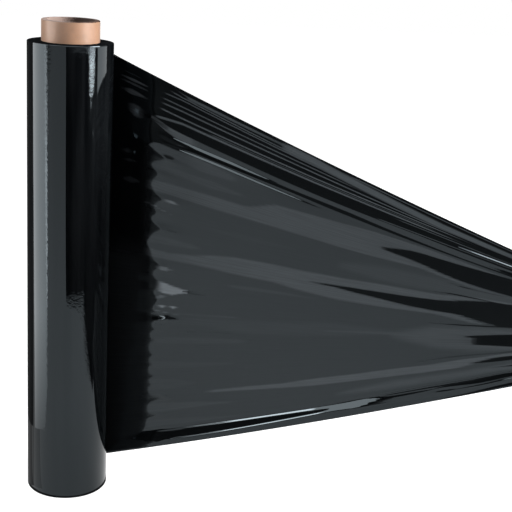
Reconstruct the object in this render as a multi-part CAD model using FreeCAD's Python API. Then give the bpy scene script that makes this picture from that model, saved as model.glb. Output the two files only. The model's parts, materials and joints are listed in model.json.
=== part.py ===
"""Stretch wrap roll standing on its end, in millimetres, +Z up.

The origin is on the roll's axis, at the floor. Two pieces: a spiral-wound cardboard core tube, and the
film, whose wound turns and pulled-off tail are one continuous web.
"""
import FreeCAD
import Part

import math
import os

# Cardboard core tube.
CORE_BORE_DIAMETER = 50.0
CORE_WALL = 5.0
CORE_STANDOUT = 22.0  # core that shows above the film's upper end
CORE_RIM_CHAMFER = 0.6  # outer rims of both ends, softened by handling

# Wound film.
FILM_WIDTH = 500.0
WOUND_THICKNESS = 14.5  # from the core to the last turn
WOUND_EDGE_BEVEL = 1.0  # outer corners, softened by the film's drawn-in edges
GROOVE_COUNT = 5  # rings left on both ends where the turns lie unevenly
GROOVE_SHARE = 0.5  # width of a groove, as a share of the rings' spacing
GROOVE_DEPTH = 0.6

# Pulled-off tail. It leaves the far side of the roll along a tangent, and narrows as it is pulled.
# "Along" is measured from the tangent line, and a "share" goes from 0 at the lower edge to 1 at the upper.
TAIL_TURN_DEG = 35.0  # from +X towards -Y
TAIL_LENGTH = 505.0
TAIL_THICKNESS = 0.6
TAIL_ROOT_DEPTH = 0.2  # the tail's outer face starts this far inside the last turn
TAIL_LOWER_INSET = 11.5  # how far the tail's edges have drawn in where it leaves the roll
TAIL_UPPER_INSET = 6.1
TAIL_END_WIDTH = 113.0
TAIL_END_HEIGHT = 281.0  # middle of the cut end, above the floor
TAIL_SAG = 4.2  # drop of both edges halfway along, below a straight line
TAIL_SPANS = 7  # spans between the sections along the tail
TAIL_STEPS = 80  # steps across one section

# Folds of the tail, as (share, half width as a share, start along, depth at the cut end).
# A positive depth stands out on the side that faces away from the roll's axis.
TAIL_FOLDS = (
    (0.985, 0.022, 30.0, -5.0),
    (0.945, 0.022, 40.0, 4.0),
    (0.905, 0.025, 60.0, -4.5),
    (0.860, 0.030, 70.0, 5.0),
    (0.800, 0.035, 120.0, -3.5),
    (0.715, 0.065, 280.0, 6.0),
    (0.610, 0.050, 200.0, -3.0),
    (0.505, 0.080, 200.0, 6.5),
    (0.400, 0.045, 260.0, -3.0),
    (0.330, 0.050, 380.0, 6.0),
    (0.205, 0.050, 330.0, 4.0),
    (0.120, 0.035, 120.0, -3.5),
    (0.070, 0.025, 60.0, 4.0),
    (0.020, 0.025, 30.0, -5.5),
)
FOLD_GROWTH = 0.8  # 1 deepens a fold evenly, and less deepens it sooner

CORE_RADIUS = CORE_BORE_DIAMETER / 2.0 + CORE_WALL
ROLL_RADIUS = CORE_RADIUS + WOUND_THICKNESS
AXIS_UP = FreeCAD.Vector(0.0, 0.0, 1.0)


def turned(outline):
    """Solid turned about the Z axis from a closed outline of (radius, height) points."""
    points = [FreeCAD.Vector(radius, 0.0, height) for radius, height in outline]
    face = Part.Face(Part.makePolygon(points + points[:1]))
    return face.revolve(FreeCAD.Vector(), AXIS_UP, 360.0)


def core_tube():
    """Tube sawn square at both ends, with its outer rims chamfered."""
    bore = CORE_BORE_DIAMETER / 2.0
    top = FILM_WIDTH + CORE_STANDOUT
    rim = CORE_RIM_CHAMFER
    return turned([
        (bore, 0.0), (CORE_RADIUS - rim, 0.0), (CORE_RADIUS, rim),
        (CORE_RADIUS, top - rim), (CORE_RADIUS - rim, top), (bore, top),
    ])


def end_outline(level, inward):
    """Outline across one end of the wound film, from the core to the outer bevel, with its grooves."""
    spacing = WOUND_THICKNESS / (GROOVE_COUNT + 1)
    half_groove = GROOVE_SHARE * spacing / 2.0
    outline = [(CORE_RADIUS, level)]
    for ring in range(1, GROOVE_COUNT + 1):
        middle = CORE_RADIUS + ring * spacing
        outline.append((middle - half_groove, level))
        outline.append((middle, level + inward * GROOVE_DEPTH))
        outline.append((middle + half_groove, level))
    outline.append((ROLL_RADIUS - WOUND_EDGE_BEVEL, level))
    outline.append((ROLL_RADIUS, level + inward * WOUND_EDGE_BEVEL))
    return outline


def wound_turns():
    """Wound film: a thick ring tight on the core, grooved at both ends, its outer corners bevelled."""
    return turned(end_outline(0.0, 1.0) + end_outline(FILM_WIDTH, -1.0)[::-1])


def tail_edges(along):
    """Heights of the tail's lower and upper edges."""
    part_way = along / TAIL_LENGTH
    sag = TAIL_SAG * 4.0 * part_way * (1.0 - part_way)
    lower_start = TAIL_LOWER_INSET
    lower_end = TAIL_END_HEIGHT - TAIL_END_WIDTH / 2.0
    upper_start = FILM_WIDTH - TAIL_UPPER_INSET
    upper_end = TAIL_END_HEIGHT + TAIL_END_WIDTH / 2.0
    lower = lower_start + (lower_end - lower_start) * part_way - sag
    upper = upper_start + (upper_end - upper_start) * part_way - sag
    return lower, upper


def fold_depth(along, share):
    """How far the film stands out of the tail's plane."""
    depth = 0.0
    for middle, half_width, start, end_depth in TAIL_FOLDS:
        across = abs(share - middle) / half_width
        if across < 1.0 and along > start:
            grown = ((along - start) / (TAIL_LENGTH - start)) ** FOLD_GROWTH
            depth += end_depth * grown * math.cos(across * math.pi / 2.0) ** 2
    return depth


def tail_section(along):
    """Closed outline across the tail: up its outer face, and back down its inner one."""
    lower, upper = tail_edges(along)
    outer_face = []
    inner_face = []
    for step in range(TAIL_STEPS + 1):
        share = step / TAIL_STEPS
        height = lower + (upper - lower) * share
        out = ROLL_RADIUS - TAIL_ROOT_DEPTH + fold_depth(along, share)
        outer_face.append(FreeCAD.Vector(along, out, height))
        inner_face.append(FreeCAD.Vector(along, out - TAIL_THICKNESS, height))
    outline = outer_face + inner_face[::-1]
    return Part.makePolygon(outline + outline[:1])


def pulled_tail():
    """Gathered web of film, lofted through its sections and turned to the way it is pulled."""
    sections = [tail_section(TAIL_LENGTH * number / TAIL_SPANS) for number in range(TAIL_SPANS + 1)]
    web = Part.makeLoft(sections, True, True)
    web.rotate(FreeCAD.Vector(), AXIS_UP, -TAIL_TURN_DEG)
    return web


def film():
    """Wound turns and pulled tail, joined where the last turn leaves the roll."""
    return wound_turns().fuse(pulled_tail())


def main():
    """Build both pieces and write one file for each."""
    os.makedirs("parts", exist_ok=True)
    for name, shape in (("core_tube", core_tube()), ("film", film())):
        print(name, "valid:", shape.isValid(), "solids:", len(shape.Solids),
              "volume mm3:", round(shape.Volume, 1))
        shape.exportStep("parts/" + name + ".step")


main()
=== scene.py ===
"""Looks of a stretch wrap roll: its cardboard core, its wound film and the film pulled off it.

Metres throughout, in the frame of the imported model: the roll stands on the origin, +Z up.
"""
import json
import math

import bmesh
import bpy
import numpy as np
from mathutils import Matrix, Vector


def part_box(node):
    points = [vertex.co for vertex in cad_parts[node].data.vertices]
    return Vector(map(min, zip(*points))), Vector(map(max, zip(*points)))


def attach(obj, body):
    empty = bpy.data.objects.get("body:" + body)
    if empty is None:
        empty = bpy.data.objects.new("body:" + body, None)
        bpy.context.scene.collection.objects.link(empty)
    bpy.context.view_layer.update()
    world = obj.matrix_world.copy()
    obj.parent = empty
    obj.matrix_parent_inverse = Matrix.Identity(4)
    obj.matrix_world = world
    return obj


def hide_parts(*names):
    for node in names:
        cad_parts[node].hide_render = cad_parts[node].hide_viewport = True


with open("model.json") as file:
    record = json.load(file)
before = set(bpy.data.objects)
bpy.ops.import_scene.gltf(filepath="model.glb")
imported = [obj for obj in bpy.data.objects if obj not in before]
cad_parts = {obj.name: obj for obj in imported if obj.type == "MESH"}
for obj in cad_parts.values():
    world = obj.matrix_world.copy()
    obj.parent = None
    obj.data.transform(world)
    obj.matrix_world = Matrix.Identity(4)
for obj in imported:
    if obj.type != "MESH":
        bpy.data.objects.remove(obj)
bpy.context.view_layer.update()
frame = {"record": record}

bl_info = {
    "name": "Stretch Wrap Roll",
    "version": (1, 0, 0),
    "blender": (4, 5, 0),
    "location": "3D View > Sidebar > Stretch Wrap",
    "description": "Makes a roll of stretch film with its free end pulled off, and the studio it stands in",
    "category": "Object",
}

CORE_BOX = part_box("core_tube")
FILM_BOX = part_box("film")
MOUNTS = {mount["name"]: mount for mount in frame["record"]["mounts"]}
MM = 0.001

CORE_STEPS, CORE_ROWS, CORE_RIM = 160, 60, 0.0006    # steps round, rows up, and rounding of the core's rims
ROLL_STEPS, ROLL_ROWS, ROLL_RIM = 256, 70, 0.0008    # the same for the wound film
CARD_HEIGHT = 0.62                                   # top of the reflection cards beside the roll
CLEAR_OF_ROLL = -0.080                               # plane of the cards on its left

# How the film's net is held: how firmly film outside the folds keeps upright, how strongly every point is
# drawn to the film's plane, and how firmly slopes are held at the notches and along the dark strip's edge.
NET_ROUNDS, LOOSE_HOLD, ANCHOR, NOTCH_GRIP, STRIP_GRIP = 900, 0.10, 6.0, 12.0, 0.3
STRIP_EDGE, STRIP_SPREAD = 0.082, 0.020
NOTCH_MARGIN, NOTCH_SLOPE = 0.004, 0.02    # reach past a notch's tip, and how far its slope passes the edge's
TUCK = 0.0004                              # how deep the film's start lies in the roll's outer turn

# Lengths along the film over which lines of sight, the pale bands of haze and painted light, and both ends of
# a pleat set in.
SIGHT_FADE, BAND_FADE, PLEAT_IN, PLEAT_OUT = 0.030, 0.012, 0.009, 0.060

# How far the film leans back, in degrees. Film that doesn't lean mirrors the pale floor, a little lean
# turns its mirror image up to the dark end of the studio, and a steep one up to the lamps overhead.
FORWARD, SLIGHT, DARK, BLACK, HEM, PALE, BRIGHT, GLARE = -8.0, 2.0, 11.0, 16.0, 20.0, 30.0, 36.0, 47.0

# Folds of the pulled film, each laid over those before it, as (lean, softness of its rim as a share of the
# film's width, ((millimetres along, lower share, upper share), ...)). Along starts where the film leaves
# the roll, and shares run from 0 at the film's lower edge to 1 at its upper edge.
FOLDS = (
    # gathered upper band, and the valley under it
    (DARK, 0.006, (
        (68, 0.82, 1.1), (75, 0.833, 1.1), (100, 0.844, 1.1), (130, 0.847, 1.1), (200, 0.845, 1.1),
        (270, 0.838, 1.1), (320, 0.832, 1.1), (360, 0.826, 1.1), (400, 0.821, 1.1), (450, 0.815, 1.1),
        (505, 0.80, 1.1))),
    (BLACK, 0.003, ((78, 0.850, 0.878), (90, 0.847, 0.866), (100, 0.847, 0.861), (130, 0.848, 0.859),
                    (200, 0.847, 0.855), (225, 0.847, 0.850))),
    (SLIGHT, 0.003, ((84, 0.853, 0.865), (92, 0.849, 0.864), (104, 0.849, 0.860),
                      (118, 0.852, 0.857))),
    (FORWARD, 0.004, (
        (73, 0.893, 0.902), (80, 0.886, 0.899), (90, 0.875, 0.893), (100, 0.868, 0.890),
        (110, 0.865, 0.888), (130, 0.862, 0.886), (170, 0.859, 0.882), (220, 0.855, 0.876),
        (270, 0.853, 0.871), (305, 0.851, 0.869), (345, 0.842, 0.868), (380, 0.836, 0.867),
        (420, 0.828, 0.861), (460, 0.824, 0.858), (505, 0.82, 0.85))),
    (FORWARD, 0.003, ((212, 0.842, 0.847), (240, 0.839, 0.846), (262, 0.838, 0.842))),
    (BRIGHT, 0.002, ((99, 0.8668, 0.8675), (112, 0.864, 0.869), (130, 0.860, 0.869), (170, 0.859, 0.868),
                     (205, 0.857, 0.862), (225, 0.857, 0.859))),
    (BRIGHT, 0.002, ((97, 0.8405, 0.8412), (112, 0.840, 0.8445), (130, 0.839, 0.847), (160, 0.838, 0.846),
                     (200, 0.834, 0.841), (240, 0.830, 0.835), (270, 0.827, 0.829))),
    (GLARE, 0.0025, ((418, 0.883, 0.885), (428, 0.881, 0.889), (450, 0.882, 0.891), (470, 0.883, 0.893),
                     (505, 0.885, 0.896))),
    (BLACK, 0.004, ((450, 0.834, 0.838), (458, 0.825, 0.846), (470, 0.823, 0.847), (505, 0.82, 0.846))),
    # thin creases past the notches at the roll
    (DARK, 0.003, ((93, 0.617, 0.620), (100, 0.615, 0.623), (106, 0.616, 0.622), (113, 0.619, 0.620))),
    (BLACK, 0.003, ((118, 0.456, 0.462), (126, 0.452, 0.463), (134, 0.449, 0.458), (148, 0.4515, 0.4535))),
    (DARK, 0.002, ((98, 0.509, 0.513), (104, 0.509, 0.513), (110, 0.510, 0.512))),
    (BLACK, 0.003, ((80, 0.362, 0.390), (95, 0.367, 0.385), (118, 0.375, 0.378))),
    (BLACK, 0.002, ((84, 0.356, 0.359), (90, 0.355, 0.362), (99, 0.359, 0.361))),
    (DARK, 0.004, ((124, 0.338, 0.344), (150, 0.339, 0.346), (192, 0.343, 0.346))),
    # lenses that open towards the gathered end
    (DARK, 0.008, (
        (337, 0.752, 0.756), (345, 0.744, 0.768), (365, 0.738, 0.786), (380, 0.730, 0.791),
        (400, 0.711, 0.793), (415, 0.698, 0.793), (430, 0.690, 0.796), (450, 0.681, 0.801),
        (470, 0.675, 0.806), (505, 0.67, 0.81))),
    (BLACK, 0.002, ((400, 0.683, 0.686), (420, 0.667, 0.674), (446, 0.665, 0.671), (460, 0.667, 0.670))),
    (DARK, 0.004, (
        (264, 0.550, 0.556), (285, 0.547, 0.560), (299, 0.544, 0.560), (307, 0.540, 0.561),
        (320, 0.536, 0.563), (350, 0.524, 0.564), (380, 0.512, 0.568), (400, 0.507, 0.573),
        (415, 0.506, 0.583), (424, 0.500, 0.596), (440, 0.475, 0.611), (450, 0.462, 0.616),
        (458, 0.448, 0.620), (475, 0.452, 0.630), (505, 0.46, 0.64))),
    (BLACK, 0.002, ((392, 0.440, 0.444), (420, 0.440, 0.449), (445, 0.445, 0.456), (460, 0.448, 0.458))),
    (BLACK, 0.002, ((396, 0.611, 0.614), (415, 0.615, 0.623), (435, 0.614, 0.622), (455, 0.612, 0.620))),
    (BLACK, 0.005, (
        (432, 0.376, 0.381), (437, 0.370, 0.388), (442, 0.366, 0.391), (446, 0.326, 0.392),
        (452, 0.321, 0.397), (460, 0.319, 0.402), (475, 0.313, 0.410), (505, 0.30, 0.42))),
    (BLACK, 0.004, ((438, 0.328, 0.334), (442, 0.325, 0.350), (446, 0.324, 0.360))),
    (DARK, 0.003, ((388, 0.230, 0.236), (410, 0.242, 0.253), (420, 0.248, 0.261), (440, 0.256, 0.268),
                   (460, 0.263, 0.275), (480, 0.27, 0.287), (505, 0.28, 0.30))),
    (BLACK, 0.003, ((438, 0.206, 0.210), (450, 0.204, 0.222), (460, 0.205, 0.237), (470, 0.208, 0.245),
                    (505, 0.225, 0.265))),
    (BLACK, 0.003, ((466, 0.165, 0.170), (480, 0.162, 0.176), (505, 0.165, 0.185))),
    # hem that the lower edge rolls into
    (HEM, 0.003, (
        (58, 0.030, 0.034), (74, 0.022, 0.052), (84, 0.008, 0.052), (90, 0.008, 0.049),
        (100, 0.014, 0.0455), (110, 0.018, 0.045), (130, 0.020, 0.045), (160, 0.020, 0.045),
        (200, 0.024, 0.047), (240, 0.028, 0.049), (270, 0.034, 0.049), (298, 0.042, 0.045))),
    (BRIGHT, 0.002, (
        (84, 0.0495, 0.052), (95, 0.046, 0.052), (110, 0.0445, 0.051), (130, 0.0435, 0.052),
        (160, 0.0435, 0.0535), (200, 0.045, 0.055), (240, 0.047, 0.058), (280, 0.048, 0.061),
        (300, 0.046, 0.064))),
    (PALE, 0.004, ((288, 0.044, 0.058), (300, 0.032, 0.064), (320, 0.029, 0.071), (335, 0.030, 0.074),
                   (348, 0.040, 0.075), (359, 0.058, 0.064))),
    (BRIGHT, 0.002, (
        (106, 0.0155, 0.0185), (118, 0.014, 0.0215), (130, 0.0135, 0.0215), (160, 0.0145, 0.0225),
        (200, 0.018, 0.026), (240, 0.022, 0.031), (280, 0.028, 0.038), (295, 0.031, 0.044))),
    (HEM, 0.003, ((338, 0.074, 0.077), (370, 0.083, 0.088), (400, 0.092, 0.097), (440, 0.101, 0.107),
                  (480, 0.122, 0.130), (505, 0.13, 0.14))),
    (HEM, 0.003, ((352, 0.056, 0.059), (362, 0.054, 0.066), (380, 0.057, 0.071), (395, 0.063, 0.073),
                  (409, 0.070, 0.074))),
    (BRIGHT, 0.002, ((358, 0.071, 0.075), (400, 0.080, 0.086), (440, 0.090, 0.096), (480, 0.112, 0.118))),
    (HEM, 0.004, ((404, 0.070, 0.075), (420, 0.072, 0.086), (440, 0.068, 0.090), (450, 0.064, 0.096),
                  (465, 0.072, 0.106), (485, 0.085, 0.118), (505, 0.09, 0.125))),
    (HEM, 0.003, ((410, 0.048, 0.058), (418, 0.047, 0.063), (428, 0.043, 0.050))),
    (BRIGHT, 0.002, ((436, 0.049, 0.053), (455, 0.052, 0.060), (475, 0.064, 0.074), (505, 0.07, 0.08))),
    (HEM, 0.003, ((338, 0.033, 0.036), (352, 0.033, 0.041), (362, 0.039, 0.042))),
    (HEM, 0.003, ((408, 0.001, 0.006), (440, 0.002, 0.014), (465, 0.008, 0.030), (485, 0.012, 0.038),
                  (505, 0.015, 0.045))),
    (DARK, 0.002, ((150, 0.002, 0.005), (190, 0.003, 0.008), (205, 0.003, 0.010), (228, 0.004, 0.009),
                   (250, 0.006, 0.009))),
)

# Pleats along the upper band, each with a painted highlight along it, as (whiteness of its painted highlight,
# start and end in millimetres, half width, and the share at the start, at 110, at 260 and at 400
# millimetres).
PLEATS = (
    (1.15, 75, 430, 0.0040, 0.9025, 0.9130, 0.9105, 0.9120),
    (1.35, 80, 440, 0.0025, 0.9280, 0.9265, 0.9250, 0.9290),
    (1.05, 82, 430, 0.0025, 0.9430, 0.9450, 0.9425, 0.9380),
    (0.90, 82, 330, 0.0020, 0.9555, 0.9565, 0.9555, 0.9500),
    (0.80, 84, 300, 0.0020, 0.9700, 0.9730, 0.9660, 0.9590),
    (0.90, 92, 262, 0.0020, 0.9830, 0.9800, 0.9720, 0.9700),
    (0.70, 100, 240, 0.0015, 0.9930, 0.9890, 0.9860, 0.9800),
    (0.45, 140, 420, 0.0015, 0.9190, 0.9190, 0.9180, 0.9210),
    (1.00, 224, 505, 0.0180, 0.9820, 0.9820, 0.9810, 0.9530),
    (0.55, 110, 250, 0.0050, 0.9860, 0.9860, 0.9860, 0.9860),
    (0.60, 330, 505, 0.0020, 0.8700, 0.8700, 0.8700, 0.8720),
    (0.60, 350, 505, 0.0020, 0.8980, 0.8980, 0.8980, 0.9010),
    (0.70, 300, 505, 0.0025, 0.9900, 0.9900, 0.9900, 0.9860),
)

# Where the film's dark strip, which mirrors the roll, reaches into the pale film or the pale film reaches
# back to the roll, as (share, half width as a share, millimetres along of the tip).
NOTCHES = (
    (0.805, 0.012, 92), (0.762, 0.009, 83), (0.697, 0.013, 90), (0.660, 0.010, 82), (0.618, 0.013, 89),
    (0.518, 0.016, 90), (0.468, 0.022, 91), (0.425, 0.024, 87), (0.377, 0.016, 99), (0.342, 0.008, 86),
    (0.312, 0.006, 92), (0.270, 0.008, 84), (0.243, 0.005, 88), (0.209, 0.008, 87), (0.185, 0.006, 84),
    (0.145, 0.014, 101), (0.095, 0.008, 91), (0.825, 0.010, 71), (0.778, 0.010, 73), (0.728, 0.012, 74),
    (0.640, 0.008, 75), (0.575, 0.022, 71),
)

# Crumples on the roll's outer turn, as (amount, middle and half width in degrees about the axis from +X, and
# lowest and highest millimetre).
CRUMPLES = (
    (0.80, -73, 10, 486, 520), (0.30, -62, 6, 446, 520), (0.10, -38, 8, 430, 520), (0.22, -82, 8, 217, 246),
    (0.25, -66, 10, 110, 250), (0.35, -122, 5, 60, 520), (0.40, -122, 5, 400, 520),
)

# Pale bands laid one over the other, as (whiteness, softness, outline): haze where the film is drawn thin and
# whitens, and painted light: fill light on the dark strip in the roll's shade, glints, reflections and
# highlights.
HAZE_AND_PAINTED_LIGHT = (
    # painted fill light on the dark strip, which lies in the roll's shade
    (0.18, 0.100, ((-20, -0.10, 0.55), (30, -0.10, 0.60), (90, -0.10, 0.60))),
    # painted glints on the dark strip, standing in for reflections of the roll's bright streaks
    (0.75, 0.006, ((40, 0.892, 0.907), (50, 0.879, 0.912), (57, 0.877, 0.911), (66, 0.885, 0.905))),
    (1.00, 0.003, ((34, 0.931, 0.936), (47, 0.927, 0.943), (55, 0.930, 0.942), (70, 0.933, 0.937))),
    (1.10, 0.002, ((32, 0.961, 0.965), (50, 0.960, 0.968), (72, 0.963, 0.967))),
    (0.80, 0.002, ((32, 0.952, 0.956), (50, 0.951, 0.958), (72, 0.953, 0.957))),
    (0.30, 0.002, ((32, 0.974, 0.977), (50, 0.975, 0.979), (66, 0.976, 0.978))),
    (0.30, 0.004, ((32, 0.785, 0.790), (43, 0.784, 0.799), (54, 0.789, 0.796))),
    (0.25, 0.003, ((34, 0.764, 0.768), (47, 0.766, 0.775), (60, 0.771, 0.775))),
    (0.30, 0.005, ((34, 0.715, 0.722), (48, 0.714, 0.733), (54, 0.717, 0.731), (65, 0.722, 0.727))),
    # haze over the pale film, painted reflection in its grey lenses, and a painted highlight on the hook
    # where its upper lens starts
    (1.20, 0.003, ((62, 0.898, 0.901), (76, 0.891, 0.902), (82, 0.884, 0.899), (90, 0.875, 0.893),
                   (100, 0.868, 0.890), (130, 0.863, 0.886))),
    (0.14, 0.020, ((60, 0.03, 0.85), (75, 0.03, 0.86), (200, 0.03, 0.86), (540, 0.0, 0.98))),
    (0.50, 0.008, ((66, 0.815, 0.832), (80, 0.812, 0.842), (100, 0.811, 0.842), (140, 0.803, 0.840),
                   (180, 0.81, 0.83))),
    (0.42, 0.008, ((66, 0.770, 0.786), (80, 0.768, 0.788), (100, 0.768, 0.790), (150, 0.765, 0.795),
                   (190, 0.775, 0.785))),
    (0.95, 0.006, (
        (66, 0.714, 0.738), (80, 0.710, 0.745), (100, 0.713, 0.747), (150, 0.711, 0.752),
        (190, 0.711, 0.754), (204, 0.711, 0.768), (222, 0.711, 0.790), (260, 0.709, 0.797),
        (300, 0.706, 0.806), (330, 0.705, 0.815), (380, 0.71, 0.82), (440, 0.67, 0.81), (470, 0.67, 0.80))),
    (0.40, 0.030, ((290, 0.62, 0.66), (340, 0.60, 0.69), (400, 0.60, 0.70), (540, 0.61, 0.70))),
    (0.22, 0.012, ((150, 0.645, 0.660), (190, 0.640, 0.668), (250, 0.650, 0.665))),
    (0.45, 0.006, ((66, 0.574, 0.600), (90, 0.577, 0.602), (125, 0.580, 0.600), (140, 0.585, 0.595))),
    (1.05, 0.008, (
        (66, 0.538, 0.566), (100, 0.536, 0.563), (130, 0.536, 0.570), (150, 0.534, 0.580),
        (180, 0.530, 0.590), (225, 0.526, 0.593), (250, 0.514, 0.592), (300, 0.497, 0.594),
        (340, 0.493, 0.600), (400, 0.490, 0.604), (440, 0.46, 0.63), (540, 0.44, 0.65))),
    (0.40, 0.006, ((168, 0.488, 0.500), (200, 0.486, 0.504), (240, 0.488, 0.502), (280, 0.49, 0.496))),
    (0.30, 0.020, ((78, 0.350, 0.395), (130, 0.352, 0.396), (200, 0.335, 0.398), (300, 0.345, 0.415),
                   (360, 0.36, 0.40))),
    (0.45, 0.004, ((92, 0.388, 0.396), (130, 0.389, 0.397), (190, 0.392, 0.400))),
    (0.55, 0.005, ((280, 0.368, 0.376), (340, 0.368, 0.384), (400, 0.368, 0.390), (450, 0.38, 0.40))),
    (0.35, 0.008, ((80, 0.300, 0.324), (130, 0.302, 0.328), (200, 0.31, 0.33))),
    (0.30, 0.008, ((76, 0.226, 0.254), (140, 0.232, 0.254), (190, 0.24, 0.25))),
    (0.30, 0.006, ((70, 0.165, 0.204), (110, 0.168, 0.202), (140, 0.18, 0.19))),
    (0.50, 0.010, ((70, 0.098, 0.134), (100, 0.098, 0.134), (140, 0.104, 0.130), (190, 0.11, 0.12))),
    (0.35, 0.010, ((70, 0.056, 0.088), (120, 0.056, 0.084), (200, 0.06, 0.07))),
    (0.75, 0.050, ((350, 0.35, 0.39), (400, 0.29, 0.45), (440, 0.27, 0.46), (540, 0.26, 0.46))),
    (1.20, 0.006, (
        (150, 0.150, 0.162), (200, 0.150, 0.168), (240, 0.149, 0.171), (280, 0.149, 0.183),
        (320, 0.155, 0.191), (360, 0.163, 0.205), (400, 0.171, 0.217), (430, 0.183, 0.238),
        (450, 0.213, 0.249), (480, 0.243, 0.272), (540, 0.26, 0.29))),
    (0.70, 0.030, ((300, 0.09, 0.12), (360, 0.09, 0.155), (440, 0.11, 0.18), (480, 0.13, 0.20),
                   (540, 0.14, 0.21))),
    # painted highlights: white slivers past the notches at the roll
    (6.00, 0.004, ((82, 0.452, 0.480), (95, 0.443, 0.476), (105, 0.442, 0.470), (115, 0.448, 0.466),
                   (134, 0.457, 0.459))),
    (3.00, 0.003, ((80, 0.426, 0.432), (90, 0.429, 0.440), (101, 0.436, 0.440))),
    (9.00, 0.0015, ((84, 0.406, 0.412), (93, 0.405, 0.413), (101, 0.406, 0.412))),
    (9.00, 0.0015, ((98, 0.407, 0.411), (107, 0.405, 0.412), (115, 0.407, 0.411))),
    (3.50, 0.002, ((87, 0.693, 0.701), (97, 0.692, 0.702), (114, 0.696, 0.698))),
    (3.00, 0.002, ((80, 0.512, 0.519), (92, 0.507, 0.520), (108, 0.511, 0.513))),
    (1.60, 0.0015, ((76, 0.397, 0.402), (92, 0.392, 0.396), (100, 0.389, 0.393), (118, 0.387, 0.389))),
    (1.20, 0.0015, ((64, 0.677, 0.681), (80, 0.673, 0.678), (88, 0.667, 0.671), (106, 0.662, 0.664))),
    (1.60, 0.0030, ((14, -0.01, 0.006), (60, -0.01, 0.006), (86, -0.01, 0.004))),
)



class CoreSettings(bpy.types.PropertyGroup):
    radius: bpy.props.FloatProperty(
        name="Outer radius", description="Outside of the cardboard tube", default=CORE_BOX[1][0],
        unit="LENGTH")
    bore: bpy.props.FloatProperty(
        name="Bore radius", description="Inside of the cardboard tube",
        default=MOUNTS["core_bore"]["dims"]["r_mm"] * MM, unit="LENGTH")
    top: bpy.props.FloatProperty(
        name="Height", description="Upper end of the tube above the floor", default=CORE_BOX[1][2],
        unit="LENGTH")
    board: bpy.props.FloatVectorProperty(
        name="Board colour", description="Outer paper ply", default=(0.51, 0.280, 0.168), size=3,
        subtype="COLOR")
    # also the painted light on the tube's inside, on its side facing the right lamp
    cut: bpy.props.FloatVectorProperty(
        name="Cut colour", description="Frayed fibres of the sawn edge", default=(0.34, 0.25, 0.215), size=3,
        subtype="COLOR")
    # painted shade: near-black colour of the tube's inside, standing in for the shadow in the bore
    shaded_inside: bpy.props.FloatVectorProperty(
        name="Liner colour", description="Grey-brown board inside", default=(0.034, 0.016, 0.010), size=3,
        subtype="COLOR")


class RollSettings(bpy.types.PropertyGroup):
    radius: bpy.props.FloatProperty(
        name="Roll radius", description="Outside of the last turn", default=-FILM_BOX[0][0],
        unit="LENGTH")
    width: bpy.props.FloatProperty(
        name="Film width", description="Height of the wound film", default=FILM_BOX[1][2],
        unit="LENGTH")
    rings: bpy.props.IntProperty(
        name="End rings", description="Uneven turns that show on each end", default=26)
    ring_depth: bpy.props.FloatProperty(
        name="Ring depth", description="How far the turns lie apart on an end", default=0.0005,
        unit="LENGTH")


class TailSettings(bpy.types.PropertyGroup):
    turn: bpy.props.FloatProperty(
        name="Turn", description="Way the film is pulled, from +X towards -Y",
        default=math.radians(35.0), subtype="ANGLE")
    length: bpy.props.FloatProperty(
        name="Length", description="From the roll to the cut end", default=0.505, unit="LENGTH")
    wrap: bpy.props.FloatProperty(
        name="Wrap", description="Length of the last turn that is modelled on the roll", default=0.050,
        unit="LENGTH")
    peel: bpy.props.FloatProperty(
        name="Peel", description="Length on the roll over which the edges draw in", default=0.028,
        unit="LENGTH")
    thickness: bpy.props.FloatProperty(
        name="Thickness", description="Film thickness", default=0.0001, unit="LENGTH")
    lower_inset: bpy.props.FloatProperty(
        name="Lower inset", description="Rise of the lower edge where it leaves the roll", default=0.0115,
        unit="LENGTH")
    upper_inset: bpy.props.FloatProperty(
        name="Upper inset", description="Drop of the upper edge where it leaves the roll", default=0.0061,
        unit="LENGTH")
    end_width: bpy.props.FloatProperty(
        name="End width", description="Width of the gathered film at its cut end", default=0.113,
        unit="LENGTH")
    end_height: bpy.props.FloatProperty(
        name="End height", description="Middle of the cut end above the floor", default=0.281,
        unit="LENGTH")
    sag: bpy.props.FloatProperty(
        name="Sag", description="Drop of both edges halfway along", default=0.0042, unit="LENGTH")
    flat_length: bpy.props.FloatProperty(
        name="Flat length", description="Length of the film before it was pulled", default=0.42,
        unit="LENGTH")


class FinishSettings(bpy.types.PropertyGroup):
    film: bpy.props.FloatVectorProperty(
        name="Film colour", description="Carbon black film", default=(0.0025, 0.0030, 0.0036), size=3,
        subtype="COLOR")
    pale_grey: bpy.props.FloatVectorProperty(
        name="Cloud colour", description="Where the film is drawn thin", default=(0.060, 0.066, 0.072),
        size=3, subtype="COLOR")
    tint: bpy.props.FloatVectorProperty(
        name="Reflection tint", description="Cool cast of the film's reflections",
        default=(0.78, 0.92, 1.0), size=3, subtype="COLOR")
    index: bpy.props.FloatProperty(
        name="Refractive index", description="Of the film", default=1.42)


class StudioSettings(bpy.types.PropertyGroup):
    eye: bpy.props.FloatVectorProperty(
        name="Eye", description="Place of the camera", default=(0.0, -1.1855, 0.6263), size=3,
        subtype="TRANSLATION", unit="LENGTH")
    pitch: bpy.props.FloatProperty(
        name="Pitch", description="How far the camera looks down", default=math.radians(16.452),
        subtype="ANGLE")
    yaw: bpy.props.FloatProperty(
        name="Yaw", description="How far it looks to the right of +Y", default=math.radians(9.854),
        subtype="ANGLE")
    roll: bpy.props.FloatProperty(
        name="Roll", description="Lean of the camera about its own axis", default=math.radians(3.275),
        subtype="ANGLE")
    lens: bpy.props.FloatProperty(
        name="Lens", description="Focal length in millimetres on a 36 mm sensor", default=79.04)
    floor: bpy.props.FloatProperty(
        name="Floor", description="Half of the floor's side", default=6.0, unit="LENGTH")


def smooth(value):
    """Eased step from 0 to 1."""
    value = np.clip(value, 0.0, 1.0)
    return value * value * (3.0 - 2.0 * value)


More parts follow.
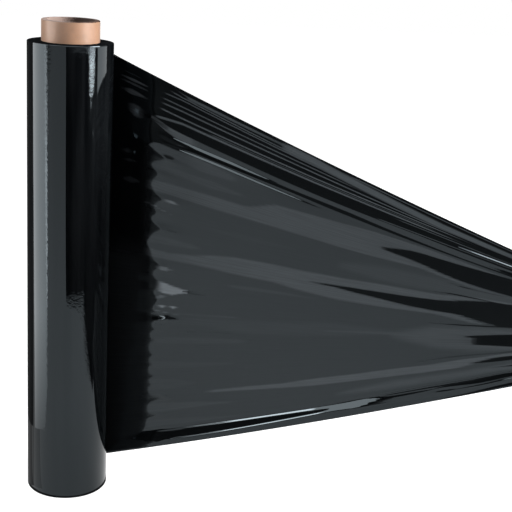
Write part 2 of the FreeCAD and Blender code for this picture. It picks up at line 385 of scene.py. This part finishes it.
def settings():
    """All the groups of settings, by short name."""
    return bpy.context.scene.stretch_wrap


def new_object(name, shape):
    """Object at the origin that holds the finished bmesh."""
    mesh = bpy.data.meshes.new(name)
    shape.to_mesh(mesh)
    shape.free()
    piece = bpy.data.objects.new(name, mesh)
    bpy.context.collection.objects.link(piece)
    return piece


def shade(shape, sharp_degrees):
    """Smooth shading, broken where faces meet at more than the given angle."""
    limit = math.radians(sharp_degrees)
    for face in shape.faces:
        face.smooth = True
    for edge in shape.edges:
        edge.smooth = len(edge.link_faces) == 2 and edge.calc_face_angle(0.0) < limit


def spun(outline, steps):
    """Closed (radius, height) outline turned about the Z axis."""
    shape = bmesh.new()
    corners = [shape.verts.new((radius, 0.0, height)) for radius, height in outline]
    rim = [shape.edges.new(pair) for pair in zip(corners, corners[1:] + corners[:1])]
    bmesh.ops.spin(
        shape, geom=corners + rim, cent=(0.0, 0.0, 0.0), axis=(0.0, 0.0, 1.0), dvec=(0.0, 0.0, 0.0),
        angle=math.tau, steps=steps, use_merge=True)
    bmesh.ops.recalc_face_normals(shape, faces=shape.faces)
    return shape


class Nodes:
    """Short way to wire the nodes of a material or a world."""

    def __init__(self, owner):
        self.owner = owner
        owner.use_nodes = True
        self.tree = owner.node_tree
        self.shader = self.tree.nodes.get("Principled BSDF")

    def add(self, kind, **values):
        node = self.tree.nodes.new(kind)
        for key, value in values.items():
            setattr(node, key, value)
        return node

    def link(self, source, target):
        self.tree.links.new(source, target)

    def feed(self, value, socket):
        """Link a socket's value, or set a plain one."""
        if isinstance(value, bpy.types.NodeSocket):
            self.link(value, socket)
        else:
            socket.default_value = value

    def math(self, operation, *values):
        node = self.add("ShaderNodeMath", operation=operation)
        for value, socket in zip(values, node.inputs):
            self.feed(value, socket)
        return node.outputs[0]

    def attribute(self, name):
        return self.add("ShaderNodeAttribute", attribute_name=name).outputs["Fac"]

    def object_axis(self, axis):
        parts = self.add("ShaderNodeSeparateXYZ")
        self.link(self.add("ShaderNodeTexCoord").outputs["Object"], parts.inputs[0])
        return parts.outputs[axis]

    def coordinates(self, output, scale):
        place = self.add("ShaderNodeMapping")
        place.inputs["Scale"].default_value = scale
        self.link(self.add("ShaderNodeTexCoord").outputs[output], place.inputs["Vector"])
        return place.outputs["Vector"]

    def noise(self, vector, scale, detail=3.0, roughness=0.55):
        node = self.add("ShaderNodeTexNoise")
        node.inputs["Scale"].default_value = scale
        node.inputs["Detail"].default_value = detail
        node.inputs["Roughness"].default_value = roughness
        self.link(vector, node.inputs["Vector"])
        return node.outputs["Fac"]

    def remap(self, value, low, high, to_low, to_high):
        node = self.add("ShaderNodeMapRange")
        for name, number in (("From Min", low), ("From Max", high), ("To Min", to_low), ("To Max", to_high)):
            node.inputs[name].default_value = number
        self.link(value, node.inputs["Value"])
        return node.outputs["Result"]

    def mix(self, factor, first, second):
        node = self.add("ShaderNodeMix", data_type="RGBA")
        self.link(factor, node.inputs["Factor"])
        for value, socket in ((first, node.inputs[6]), (second, node.inputs[7])):
            self.feed(value if isinstance(value, bpy.types.NodeSocket) else (*value, 1.0), socket)
        return node.outputs[2]

    def bump(self, height, strength, distance):
        node = self.add("ShaderNodeBump")
        node.inputs["Strength"].default_value = strength
        node.inputs["Distance"].default_value = distance
        self.link(height, node.inputs["Height"])
        self.link(node.outputs["Normal"], self.shader.inputs["Normal"])


def material_nodes(name):
    """Nodes of a new material."""
    return Nodes(bpy.data.materials.new(name))


def film_finish(name, output, scale):
    """Glossy black film with fine drawing lines along its length: the nodes and the lines' strength."""
    look = settings().finish
    nodes = material_nodes(name)
    lines = nodes.noise(nodes.coordinates(output, scale), 9.0, 4.0)
    nodes.link(nodes.remap(lines, 0.3, 0.7, 0.030, 0.070), nodes.shader.inputs["Roughness"])
    nodes.shader.inputs["IOR"].default_value = look.index
    nodes.shader.inputs["Specular Tint"].default_value = (*look.tint, 1.0)
    return nodes, lines


def pulled_finish():
    """Stretched film, paled with haze where it is drawn thin and with painted highlights, glints and fill
    light.
    """
    look = settings().finish
    nodes, lines = film_finish("pulled_film", "UV", (2.0, 34.0, 1.0))
    # haze and painted light from the film's pale patches, streaked by the drawing lines
    pale_grey = nodes.math("MULTIPLY", nodes.attribute("pale_patches"), nodes.remap(lines, 0.3, 0.7, 0.75, 1.25))
    whitened = nodes.add("ShaderNodeVectorMath", operation="MULTIPLY_ADD")
    for value, socket in zip((pale_grey, look.pale_grey, look.film), whitened.inputs):
        nodes.feed(value, socket)
    nodes.link(whitened.outputs[0], nodes.shader.inputs["Base Color"])
    nodes.bump(lines, 0.03, 0.0002)
    return nodes.owner


def wound_finish():
    """Tight outer turn, with fine drawing lines around it and crumples high up where the film leaves."""
    look = settings().finish
    nodes, lines = film_finish("wound_film", "Object", (14.0, 14.0, 0.6))
    nodes.link(nodes.mix(nodes.remap(lines, 0.4, 0.8, 0.0, 0.12), look.film, look.pale_grey),
               nodes.shader.inputs["Base Color"])
    crumples = nodes.noise(nodes.coordinates("Object", (0.8, 0.8, 1.0)), 420.0, 2.0, 0.6)
    depth = nodes.math("MULTIPLY", nodes.attribute("crumples"), crumples)
    nodes.bump(nodes.math("MULTIPLY_ADD", lines, 0.007, depth), 1.0, 0.0006)
    return nodes.owner


def ends_finish():
    """Satin end of the roll, where the edges of the turns lie in rings."""
    look = settings().finish
    nodes = material_nodes("wound_ends")
    grain = nodes.noise(nodes.coordinates("Object", (1.0, 1.0, 1.0)), 700.0, 3.0)
    nodes.link(nodes.mix(nodes.remap(grain, 0.5, 0.8, 0.0, 0.02), look.film, look.pale_grey),
               nodes.shader.inputs["Base Color"])
    nodes.shader.inputs["Roughness"].default_value = 0.8
    nodes.shader.inputs["IOR"].default_value = 1.03
    nodes.bump(grain, 0.2, 0.0002)
    return nodes.owner


def board_finish():
    """Outer ply of spiral-wound paperboard, with its fibres and soft patches of tone."""
    core = settings().core
    nodes = material_nodes("core_board")
    fibres = nodes.noise(nodes.coordinates("Object", (1.0, 1.0, 0.35)), 900.0, 5.0, 0.7)
    pale_patches = nodes.noise(nodes.coordinates("Object", (1.0, 1.0, 1.0)), 60.0, 3.0)
    dark = tuple(channel * 0.80 for channel in core.board)
    tone = nodes.mix(nodes.remap(pale_patches, 0.3, 0.7, 0.0, 1.0), dark, core.board)
    tone = nodes.mix(nodes.remap(fibres, 0.45, 0.75, 0.0, 0.30), tone, core.cut)
    nodes.link(tone, nodes.shader.inputs["Base Color"])
    nodes.shader.inputs["Roughness"].default_value = 0.40
    nodes.shader.inputs["Sheen Weight"].default_value = 0.6
    nodes.shader.inputs["Sheen Roughness"].default_value = 0.35
    nodes.bump(fibres, 0.25, 0.0002)
    return nodes.owner


def cut_finish():
    """Sawn end and inside of the tube, with painted light and shade: pale on the -X side, which faces the
    lamp on the right, and dark grey-brown elsewhere, the line between them ragged by the fibres.
    """
    core = settings().core
    nodes = material_nodes("core_inside")
    fibres = nodes.noise(nodes.coordinates("Object", (1.0, 1.0, 1.0)), 700.0, 4.0, 0.7)
    # painted light and shade: pale towards -X where the right lamp lights the inside, dark towards +X, ragged
    # by the fibres
    lit_side = nodes.math("MULTIPLY_ADD", fibres, -0.020, nodes.object_axis("X"))
    nodes.link(nodes.mix(nodes.remap(lit_side, -0.020, -0.006, 1.0, 0.0), core.shaded_inside, core.cut),
               nodes.shader.inputs["Base Color"])
    nodes.shader.inputs["Roughness"].default_value = 0.8
    nodes.shader.inputs["Specular IOR Level"].default_value = 0.1
    nodes.bump(fibres, 0.5, 0.0003)
    return nodes.owner


class STRETCH_OT_core(bpy.types.Operator):
    """Make the cardboard core that the film is wound on"""
    bl_idname = "stretch.core"
    bl_label = "Cardboard Core"

    def execute(self, context):
        core = settings().core
        rows = np.linspace(CORE_RIM, core.top - CORE_RIM, CORE_ROWS)
        inner, outer = core.bore + CORE_RIM * 0.5, core.radius - CORE_RIM
        outline = [(core.radius, height) for height in rows]
        outline += [(outer, core.top), (inner, core.top)]
        outline += [(core.bore, height) for height in rows[::-1]]
        outline += [(inner, 0.0), (outer, 0.0)]
        shape = spun(outline, CORE_STEPS)
        for face in shape.faces:
            middle = face.calc_center_median()
            face.material_index = int(math.hypot(middle.x, middle.y) < core.radius - CORE_RIM * 0.4)
        shade(shape, 30.0)
        piece = new_object("core_board", shape)
        piece.data.materials.append(board_finish())
        piece.data.materials.append(cut_finish())
        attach(piece, "root")
        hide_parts("core_tube")
        return {"FINISHED"}


def crumpled(place):
    """How crumpled the outer turn is at one of its points, 0 to 1."""
    angle, height = math.degrees(math.atan2(place.y, place.x)), place.z / MM
    total = 0.0
    for amount, middle, half_width, low, high in CRUMPLES:
        total += amount * math.exp(-((angle - middle) / half_width) ** 2) * float(
            smooth((height - low) / 8.0) * smooth((high - height) / 8.0))
    return min(total, 1.0)


def end_rings(roll, core_radius, level, inward):
    """(radius, height) points across one end of the wound film, its turns lying a little unevenly."""
    points = []
    for ring in range(roll.rings + 1):
        radius = core_radius + (roll.radius - ROLL_RIM - core_radius) * ring / roll.rings
        uneven = 0.5 + 0.3 * math.sin(ring * 2.4) + 0.2 * math.sin(ring * 5.1 + 1.0)
        points.append((radius, level + inward * roll.ring_depth * uneven * (ring % 2)))
    return points


class STRETCH_OT_wound(bpy.types.Operator):
    """Make the wound turns of film"""
    bl_idname = "stretch.wound"
    bl_label = "Wound Film"

    def execute(self, context):
        roll, core = settings().wound, settings().core
        lower = end_rings(roll, core.radius, 0.0, 1.0)
        upper = end_rings(roll, core.radius, roll.width, -1.0)
        ends = np.array((1.0, 1.3, 2.0, 4.0)) * ROLL_RIM
        middle = np.linspace(0.006, roll.width - 0.006, ROLL_ROWS)
        rows = np.concatenate((ends, middle, roll.width - ends[::-1]))
        inset = ROLL_RIM * 0.3
        side = [(roll.radius - inset, inset)]
        side += [(roll.radius, height) for height in rows]
        side += [(roll.radius - inset, roll.width - inset)]
        shape = spun(lower + side + upper[::-1], ROLL_STEPS)
        creased = shape.verts.layers.float.new("crumples")
        for corner in shape.verts:
            self.settle(corner.co, roll)
            corner[creased] = crumpled(corner.co)
        for face in shape.faces:
            face.material_index = int(abs(face.normal.z) > 0.5)
        shade(shape, 35.0)
        piece = new_object("wound_film", shape)
        piece.data.materials.append(wound_finish())
        piece.data.materials.append(ends_finish())
        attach(piece, "root")
        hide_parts("film")
        return {"FINISHED"}

    @staticmethod
    def settle(place, roll):
        """Ease one point of the outer turn inwards by a few hundredths of a millimetre."""
        radius = math.hypot(place.x, place.y)
        if radius < roll.radius - 0.0001:
            return
        angle = math.atan2(place.y, place.x)
        wave = math.sin(3.0 * angle + 9.0 * place.z) + math.sin(7.0 * angle - 23.0 * place.z)
        eased = 1.0 - (0.00004 + 0.00001 * wave) / radius
        place.x *= eased
        place.y *= eased


def tail_edges(tail, width, along):
    """Heights of the film's lower and upper edges, metres along from where it leaves the roll."""
    part_way = np.clip(along / tail.length, 0.0, 1.0)
    sag = tail.sag * 4.0 * part_way * (1.0 - part_way)
    drawn_in = np.clip(1.0 + along / tail.peel, 0.0, 1.0)
    lower = tail.lower_inset * drawn_in
    upper = width - tail.upper_inset * drawn_in
    lower = lower + (tail.end_height - tail.end_width / 2.0 - tail.lower_inset) * part_way - sag
    upper = upper + (tail.end_height + tail.end_width / 2.0 - width + tail.upper_inset) * part_way - sag
    return lower, upper


def covered(along, share, softness, outline):
    """How far each point lies inside an outline: 0 outside it, 1 once deeper than the softness of its rim."""
    stations, low, high = (np.array(column) for column in zip(*outline))
    low = np.interp(along, stations * MM, low)
    high = np.interp(along, stations * MM, high, left=-1.0, right=-1.0)
    return smooth(np.minimum(share - low, high - share) / softness)


def between(values, axis):
    """Means of neighbours along one axis."""
    ahead, behind = np.delete(values, 0, axis), np.delete(values, -1, axis)
    return (ahead + behind) / 2.0


def spread_out(values, axis):
    """Length or height that belongs to each point, from the steps between points."""
    ends = [(0, 0), (0, 0)]
    ends[axis] = (1, 1)
    return between(np.pad(values, ends), axis)


def divergence(flow_along, flow_across):
    """What flows between neighbours bring to each point."""
    total = np.zeros((flow_across.shape[0], flow_along.shape[1]))
    total[1:] += flow_along
    total[:-1] -= flow_along
    total[:, 1:] += flow_across
    total[:, :-1] -= flow_across
    return total


class FilmNet:
    """Film as a net of depths behind its plane, each stretch of it held at a wanted lean and slope.

    The depths that come nearest to all the wanted leans and slopes are found by conjugate gradients, with
    each column of the net solved at a stroke as the first guess.
    """

    def __init__(self, along, height, hold, grip):
        self.run, self.rise = np.diff(along, axis=0), np.diff(height, axis=1)
        length, tall = spread_out(self.run, 0), spread_out(self.rise, 1)
        self.along = between(grip * tall, 0) / self.run
        self.across = between(hold * length, 1) / self.rise
        self.anchor = ANCHOR * length * tall
        self.eliminate()

    def eliminate(self):
        """Factors for solving every column of the net at once."""
        weight = self.anchor.copy()
        weight[1:] += self.along
        weight[:-1] += self.along
        weight[:, 1:] += self.across
        weight[:, :-1] += self.across
        self.pivot = weight
        for row in range(1, weight.shape[1]):
            weight[:, row] -= self.across[:, row - 1] ** 2 / weight[:, row - 1]

    def guess(self, load):
        """Depths that carry the load where each column stands alone."""
        depth = load.copy()
        for row in range(1, depth.shape[1]):
            depth[:, row] += self.across[:, row - 1] / self.pivot[:, row - 1] * depth[:, row - 1]
        depth[:, -1] /= self.pivot[:, -1]
        for row in range(depth.shape[1] - 2, -1, -1):
            depth[:, row] = (depth[:, row] + self.across[:, row] * depth[:, row + 1]) / self.pivot[:, row]
        return depth

    def load(self, depth):
        """Load that holds the net at the given depths."""
        pull = divergence(self.along * np.diff(depth, axis=0), self.across * np.diff(depth, axis=1))
        return pull + self.anchor * depth

    def settle(self, lean, slope):
        """Depths for the wanted leans and slopes."""
        wanted = divergence(
            self.along * self.run * between(slope, 0), self.across * self.rise * between(lean, 1))
        depth = np.zeros_like(lean)
        rest, step, measure = wanted, 0.0, 1.0    # what is left to carry, the last step, and its size
        for _ in range(NET_ROUNDS):
            better = self.guess(rest)
            new_measure = np.sum(rest * better)
            step = better + step * (new_measure / measure)
            measure = new_measure
            load = self.load(step)
            size = measure / np.sum(step * load)
            depth += size * step
            rest = rest - size * load
        return depth


def tail_frame(tail):
    """Directions out of the film's plane, away from the viewer, and along the film."""
    out = Vector((math.sin(tail.turn), math.cos(tail.turn), 0.0))
    return out, Vector((math.cos(tail.turn), -math.sin(tail.turn), 0.0))


def sight_steps(tail, roll, along, height):
    """How far the line of sight through each point moves along and up for each step behind the plane."""
    eye = settings().studio.eye
    out, pull = tail_frame(tail)
    distance = roll.radius - out.dot(eye)
    near_roll = smooth(along / SIGHT_FADE)
    return (along - pull.dot(eye)) / distance * near_roll, (height - eye.z) / distance * near_roll


def pleated(pleat, along, share):
    """How far each point lies inside a pleat of the upper band, 0 to 1."""
    start, end, half_width = pleat[1:4]
    middle = np.interp(along, np.array((start, 110, 260, 400)) * MM, pleat[4:])
    inside = smooth((half_width - np.abs(share - middle)) / half_width * 1.6)
    return inside * smooth((along - start * MM) / PLEAT_IN) * smooth((end * MM - along) / PLEAT_OUT)


def edge_slope(tail, roll, along):
    """Slope at which the film mirrors the very edge of the roll; at a smaller one it mirrors the roll."""
    out, pull = tail_frame(tail)
    eye = settings().studio.eye
    to_eye = np.array([pull.dot(eye) - along, np.full_like(along, out.dot(eye) - roll.radius)])
    turn = 2.0 * np.arctan2(roll.radius, along)
    middle = to_eye / np.hypot(*to_eye) - np.array([np.cos(turn), np.sin(turn)])
    return -middle[0] / middle[1]


def notched(tail, roll, along, share):
    """Wanted slope of the film next to its dark strip, and how firmly it is wanted, 0 to 1."""
    edge = edge_slope(tail, roll, along)
    level_end = along[np.argmin(np.abs(edge[:, 0])), 0]
    slope, firm = np.zeros_like(share), np.zeros_like(share)
    for middle, half_width, tip in NOTCHES:
        part_way = np.clip((along - level_end) / (tip * MM - level_end), 0.0, 1.0)
        near = np.abs(along - level_end) < 2.0 * abs(tip * MM - level_end) + NOTCH_MARGIN
        width = half_width * np.sqrt(1.0 - part_way) + 1e-6
        inside = smooth(1.5 - np.abs(share - middle) / width) * (part_way < 1.0) * near
        reach = np.sign(tip * MM - level_end)
        wanted = edge * (part_way > 0.0) - NOTCH_SLOPE * reach
        slope += (wanted - slope) * inside
        firm = np.maximum(firm, inside)
    return slope, firm


def film_depths(tail, roll, steps, along, share, height):
    """Distance of each point of the film behind its plane."""
    lean, hold = film_leans(along, share)
    slope, firm = notched(tail, roll, along, share)
    strip = STRIP_GRIP * np.exp(-((along - STRIP_EDGE) / STRIP_SPREAD) ** 2)
    grip = 1.0 + NOTCH_GRIP * np.maximum(firm, strip)
    spread = 1.0 - steps[0] * slope - steps[1] * lean
    settled = FilmNet(along, height, hold, grip).settle(lean / spread, slope / spread)
    return settled * smooth((along + tail.peel) / (2.0 * tail.peel))


def film_leans(along, share):
    """Wanted lean of the film as a tangent, and how firmly it is wanted, 0 to 1."""
    lean, hold = np.zeros_like(share), np.full_like(share, LOOSE_HOLD)
    covers = [(degrees, covered(along, share, softness, outline)) for degrees, softness, outline in FOLDS]
    # the pleats lie on the upper band and its valley, under all the other folds
    covers[2:2] = [(FORWARD, pleated(pleat, along, share)) for pleat in PLEATS]
    for degrees, cover in covers:
        lean += (math.tan(math.radians(degrees)) - lean) * cover
        hold = np.maximum(hold, cover)
    return lean, hold


def film_haze_and_painted_light(along, share):
    """How pale each point is painted, with haze and painted light: 0 where it is black, above 1 where it
    whitens.
    """
    pale_patches = np.zeros_like(share)
    for whiteness, softness, outline in HAZE_AND_PAINTED_LIGHT:
        ends = np.minimum(along - outline[0][0] * MM, outline[-1][0] * MM - along)
        pale_patches += (whiteness - pale_patches) * covered(along, share, softness, outline) * smooth(ends / BAND_FADE)
    lean, hold = film_leans(along, share)
    pale_patches *= 1.0 - smooth(lean / math.tan(math.radians(DARK)) * 1.5 - 0.3) * (hold > 0.5)
    for pleat in PLEATS:
        # painted highlights along the pleats
        pale_patches = np.maximum(pale_patches, pleat[0] * pleated(pleat, along, share))
    return pale_patches


class STRETCH_OT_pulled(bpy.types.Operator):
    """Make the film that is pulled off the roll, with its lenses, pleats, creases and rolled hem"""
    bl_idname = "stretch.pulled"
    bl_label = "Pulled Film"

    def execute(self, context):
        tail, roll = settings().tail, settings().wound
        along, share = self.spread(tail)
        lower, upper = tail_edges(tail, roll.width, along)
        height = lower + (upper - lower) * share
        steps = sight_steps(tail, roll, along, height)
        depth = film_depths(tail, roll, steps, along, share, height)
        # haze and painted light, kept on the film's vertices
        pale_patches = film_haze_and_painted_light(along, share)
        reach, rise = along + steps[0] * depth, height + steps[1] * depth
        columns, rows = share.shape
        shape = bmesh.new()
        bmesh.ops.create_grid(shape, x_segments=columns - 1, y_segments=rows - 1, size=0.5)
        chart = shape.loops.layers.uv.new("film")
        pale_layer = shape.verts.layers.float.new("pale_patches")
        spots = {}
        for vertex in shape.verts:
            spot = round((vertex.co.x + 0.5) * (columns - 1)), round((vertex.co.y + 0.5) * (rows - 1))
            spots[vertex] = spot
            vertex.co = self.place(tail, roll, reach[spot], depth[spot], rise[spot])
            vertex[pale_layer] = pale_patches[spot]
        for face in shape.faces:
            for loop in face.loops:
                spot = spots[loop.vert]
                loop[chart].uv = along[spot], share[spot]
        shade(shape, 180.0)
        piece = new_object("pulled_film", shape)
        wall = piece.modifiers.new("Film thickness", "SOLIDIFY")
        wall.thickness = tail.thickness
        wall.offset = -1.0
        piece.data.materials.append(pulled_finish())
        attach(piece, "root")
        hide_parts("film")
        return {"FINISHED"}

    @staticmethod
    def spread(tail):
        """Grids of metres along and share across, closest together where the folds are finest."""
        marks = ((-tail.wrap, 0.0, 12), (0.0, 0.038, 6), (0.038, 0.068, 12), (0.068, 0.125, 34),
                 (0.125, tail.length, 50))
        rows = ((0.0, 0.13, 88), (0.13, 0.82, 200), (0.82, 1.0, 130))
        along, share = (
            np.concatenate([np.linspace(low, high, count, endpoint=False) for low, high, count in spans])
            for spans in (marks, rows))
        return np.meshgrid(np.append(along, tail.length), np.append(share, 1.0), indexing="ij")

    @staticmethod
    def place(tail, roll, along, depth, height):
        """Point of the film: on the roll before the tangent line, and on the plane after it."""
        if along < 0.0:
            angle = tail.turn + along / roll.radius
            hidden = TUCK * smooth((-along - tail.peel) / (tail.wrap - tail.peel))
            reach = roll.radius - float(hidden) + depth
            return Vector((reach * math.sin(angle), reach * math.cos(angle), height))
        out, pull = tail_frame(tail)
        return out * (roll.radius + depth) + pull * along + Vector((0.0, 0.0, height))


def card(name, corners, strength, *fades):
    """Studio card that only reflections see: a bright panel, or a dark flag at strength 0.

    Each fade is (axis, from, to, share at from, share at to), and dims the card along that axis.
    """
    shape = bmesh.new()
    shape.faces.new([shape.verts.new(corner) for corner in corners])
    panel = new_object(name, shape)
    nodes = material_nodes(name)
    glow = nodes.add("ShaderNodeEmission")
    for axis, *span in fades:
        strength = nodes.math("MULTIPLY", strength, nodes.remap(nodes.object_axis(axis), *span))
    nodes.feed(strength, glow.inputs["Strength"])
    nodes.link(glow.outputs[0], nodes.tree.nodes["Material Output"].inputs["Surface"])
    panel.data.materials.append(nodes.owner)
    for ray in ("camera", "diffuse", "transmission", "volume_scatter", "shadow"):
        setattr(panel, "visible_" + ray, False)


def upright(start, end, low, high):
    """Corners of an upright panel over the floor line from start to end."""
    return ((*start, low), (*end, low), (*end, high), (*start, high))


def level(height, *corners):
    """Corners of a flat panel at one height."""
    return [(*corner, height) for corner in corners]


def side_on(x, *corners):
    """Corners (y, z) of an upright panel that faces along X."""
    return [(x, *corner) for corner in corners]


def lamp(name, place, aim, size, power, glossy=False):
    """Soft area lamp, which reflections see only if it is glossy."""
    data = bpy.data.lights.new(name, "AREA")
    data.size = size
    data.energy = power
    light = bpy.data.objects.new(name, data)
    bpy.context.collection.objects.link(light)
    light.location = place
    light.rotation_euler = (Vector(aim) - Vector(place)).to_track_quat("-Z", "Y").to_euler()
    light.visible_glossy = glossy


def seen_directly(nodes):
    """1 for camera, glossy and transmission rays, 0 for the rays that light surfaces."""
    path = nodes.add("ShaderNodeLightPath")
    total = path.outputs["Is Camera Ray"]
    for name in ("Is Glossy Ray", "Is Transmission Ray"):
        total = nodes.math("MAXIMUM", total, path.outputs[name])
    return total


class STRETCH_OT_studio(bpy.types.Operator):
    """Make the pale floor, the lamps, the reflection cards and the camera"""
    bl_idname = "stretch.studio"
    bl_label = "Studio"

    def execute(self, context):
        self.floor()
        self.world()
        self.cards()
        self.lamps()
        self.camera()
        context.scene.view_settings.view_transform = "Standard"
        return {"FINISHED"}

    def floor(self):
        studio = settings().studio
        shape = bmesh.new()
        bmesh.ops.create_grid(shape, x_segments=1, y_segments=1, size=studio.floor)
        floor = new_object("floor", shape)
        nodes = material_nodes("floor")
        nodes.shader.inputs["Base Color"].default_value = (0.35, 0.35, 0.35, 1.0)
        nodes.shader.inputs["Roughness"].default_value = 0.9
        nodes.shader.inputs["Specular IOR Level"].default_value = 0.0
        nodes.shader.inputs["Emission Color"].default_value = (1.0, 1.0, 1.0, 1.0)
        glow = nodes.math("MULTIPLY", seen_directly(nodes), 0.95)
        nodes.link(glow, nodes.shader.inputs["Emission Strength"])
        floor.data.materials.append(nodes.owner)

    def world(self):
        world = bpy.data.worlds.new("studio")
        bpy.context.scene.world = world
        nodes = Nodes(world)
        nodes.tree.nodes.clear()
        out = nodes.add("ShaderNodeOutputWorld")
        either = nodes.add("ShaderNodeMixShader")
        nodes.link(seen_directly(nodes), either.inputs[0])
        for strength, socket in zip((0.25, 1.0), list(either.inputs)[1:]):
            sky = nodes.add("ShaderNodeBackground")
            sky.inputs["Color"].default_value = (1.0, 1.0, 1.0, 1.0)
            sky.inputs["Strength"].default_value = strength
            nodes.link(sky.outputs[0], socket)
        nodes.link(either.outputs[0], out.inputs["Surface"])

    def cards(self):
        card("left_panel", side_on(
            CLEAR_OF_ROLL, (-0.058, 0.055), (-0.0125, 0.057), (-0.0085, 0.215), (-0.0065, 0.325),
            (-0.0035, 0.455), (0.0, CARD_HEIGHT), (-0.050, CARD_HEIGHT), (-0.060, 0.485), (-0.064, 0.455),
            (-0.067, 0.403), (-0.070, 0.325), (-0.0725, 0.215), (-0.0725, 0.100), (-0.066, 0.080)),
            4.6, ("Z", 0.03, 0.20, 0.3, 1.0))
        card("left_edge", side_on(
            CLEAR_OF_ROLL + 0.0002, (-0.0695, 0.20), (-0.0725, 0.20), (-0.070, 0.325), (-0.067, 0.403),
            (-0.064, 0.455), (-0.060, 0.485), (-0.050, CARD_HEIGHT), (-0.044, CARD_HEIGHT), (-0.0545, 0.485),
            (-0.0565, 0.403), (-0.059, 0.325)), 9.0)
        card("left_flag", upright((CLEAR_OF_ROLL, -0.003), (-0.020, 0.250), 0.057, CARD_HEIGHT), 0.06)
        for name, strength, *corners in (
                ("left_near_shade", 0.85, (-0.040, -0.038), (-1.5, -0.08), (-1.43, 0.56)),
                ("left_shade", 0.50, (-1.43, 0.56), (-1.25, 0.88)),
                ("left_far_shade", 0.22, (-1.25, 0.88), (-0.20, 1.40), (-0.040, 0.03))):
            card(name, level(0.001, (-0.046, -0.021), *corners), strength)
        card("right_flag", upright((0.070, 0.160), (0.170, 0.025), 0.0, CARD_HEIGHT), 0.0)
        card("dark_floor", level(
            0.002, (-0.088, -0.720), (0.112, -0.701), (0.298, -0.631), (0.464, -0.572), (0.390, -0.422),
            (0.365, -0.286), (0.335, -0.180), (0.300, -0.100), (2.6, -0.55), (5.9, -1.3), (5.9, -5.5),
            (0.9, -5.2), (-1.10, -5.2)), 0.0)
        turns = [step * math.tau / 64 for step in range(64)]
        card("foot_shade", level(0.0008, *(
            (0.0480 * math.cos(turn), 0.0480 * math.sin(turn)) for turn in turns)), 0.10)
        card("dark_room", upright((-7.0, 0.6), (-1.8, -6.8), 0.0, 4.2), 1.0,
             ("Z", 0.0, 2.2, 0.30, 0.06), ("X", -5.9, -4.4, 0.10, 1.0))
        card("ceiling", level(2.4, (-6.5, 1.6), (-6.5, -1.0), (-4.4, -1.6), (-4.4, -4.4), (1.5, -4.4),
                              (1.5, 1.6)), 5.0)
        card("hem_lamp", level(2.39, (-6.0, -0.15), (-3.6, -0.25), (-2.75, -0.45), (-1.7, -0.75), (-1.4, 0.3),
                               (-2.5, 1.5), (-6.0, 1.5)), 14.5)
        card("top_lamp", level(2.38, (-0.25, -1.0), (0.8, -1.0), (0.8, -0.3), (-0.25, -0.3)), 16.0)
        card("right_panel", ((2.055, -1.334, 0.067), (2.18, -1.12, 0.126), (2.265, -0.934, 0.185),
                             (2.27, -0.918, 0.245), (2.27, -0.918, 0.30), (1.79, -1.67, 0.30),
                             (1.82, -1.64, 0.245), (1.90, -1.54, 0.185), (1.96, -1.47, 0.126),
                             (2.02, -1.38, 0.067)), 26.0)
        card("right_glow", upright((2.45, -0.60), (2.30, 1.10), 0.0, 0.34), 3.0)

    def lamps(self):
        lamp("right_lamp", (1.3, -0.45, 0.9), (0.0, 0.0, 0.45), 0.6, 34.0, glossy=True)
        lamp("left_lamp", (-1.3, 0.1, 0.8), (0.0, 0.0, 0.45), 0.6, 10.0, glossy=True)
        lamp("top_lamp", (0.0, 0.0, 2.0), (0.0, 0.0, 0.0), 2.0, 6.0)

    def camera(self):
        studio = settings().studio
        ahead = Vector((
            math.sin(studio.yaw) * math.cos(studio.pitch), math.cos(studio.yaw) * math.cos(studio.pitch),
            -math.sin(studio.pitch)))
        right = Vector((math.cos(studio.yaw), -math.sin(studio.yaw), 0.0))
        up = right.cross(ahead)
        turned_right = right * math.cos(studio.roll) + up * math.sin(studio.roll)
        turned_up = up * math.cos(studio.roll) - right * math.sin(studio.roll)
        data = bpy.data.cameras.new("photo_view")
        data.sensor_width = 36.0
        data.lens = studio.lens
        camera = bpy.data.objects.new("photo_view", data)
        bpy.context.collection.objects.link(camera)
        turn = Matrix((turned_right, turned_up, -ahead)).transposed().to_4x4()
        camera.matrix_world = Matrix.Translation(studio.eye) @ turn
        bpy.context.scene.camera = camera


class STRETCH_PT_panel(bpy.types.Panel):
    bl_label = "Stretch Wrap Roll"
    bl_space_type = "VIEW_3D"
    bl_region_type = "UI"
    bl_category = "Stretch Wrap"

    def draw(self, context):
        for operator in OPERATORS:
            self.layout.operator(operator.bl_idname)


class WrapSettings(bpy.types.PropertyGroup):
    core: bpy.props.PointerProperty(type=CoreSettings, name="Core", description="Cardboard core")
    wound: bpy.props.PointerProperty(type=RollSettings, name="Wound film", description="Turns on the core")
    tail: bpy.props.PointerProperty(type=TailSettings, name="Pulled film", description="Film off the roll")
    finish: bpy.props.PointerProperty(type=FinishSettings, name="Finish", description="Film's look")
    studio: bpy.props.PointerProperty(type=StudioSettings, name="Studio", description="Camera and floor")


OPERATORS = (STRETCH_OT_core, STRETCH_OT_wound, STRETCH_OT_pulled, STRETCH_OT_studio)
GROUPS = (CoreSettings, RollSettings, TailSettings, FinishSettings, StudioSettings, WrapSettings)


def register():
    for kind in (*GROUPS, *OPERATORS, STRETCH_PT_panel):
        bpy.utils.register_class(kind)
    bpy.types.Scene.stretch_wrap = bpy.props.PointerProperty(type=WrapSettings)


def unregister():
    del bpy.types.Scene.stretch_wrap
    for kind in reversed((*GROUPS, *OPERATORS, STRETCH_PT_panel)):
        bpy.utils.unregister_class(kind)


def main():
    register()
    bpy.ops.stretch.core()
    bpy.ops.stretch.wound()
    bpy.ops.stretch.pulled()
    bpy.ops.stretch.studio()


if __name__ == "__main__":
    main()
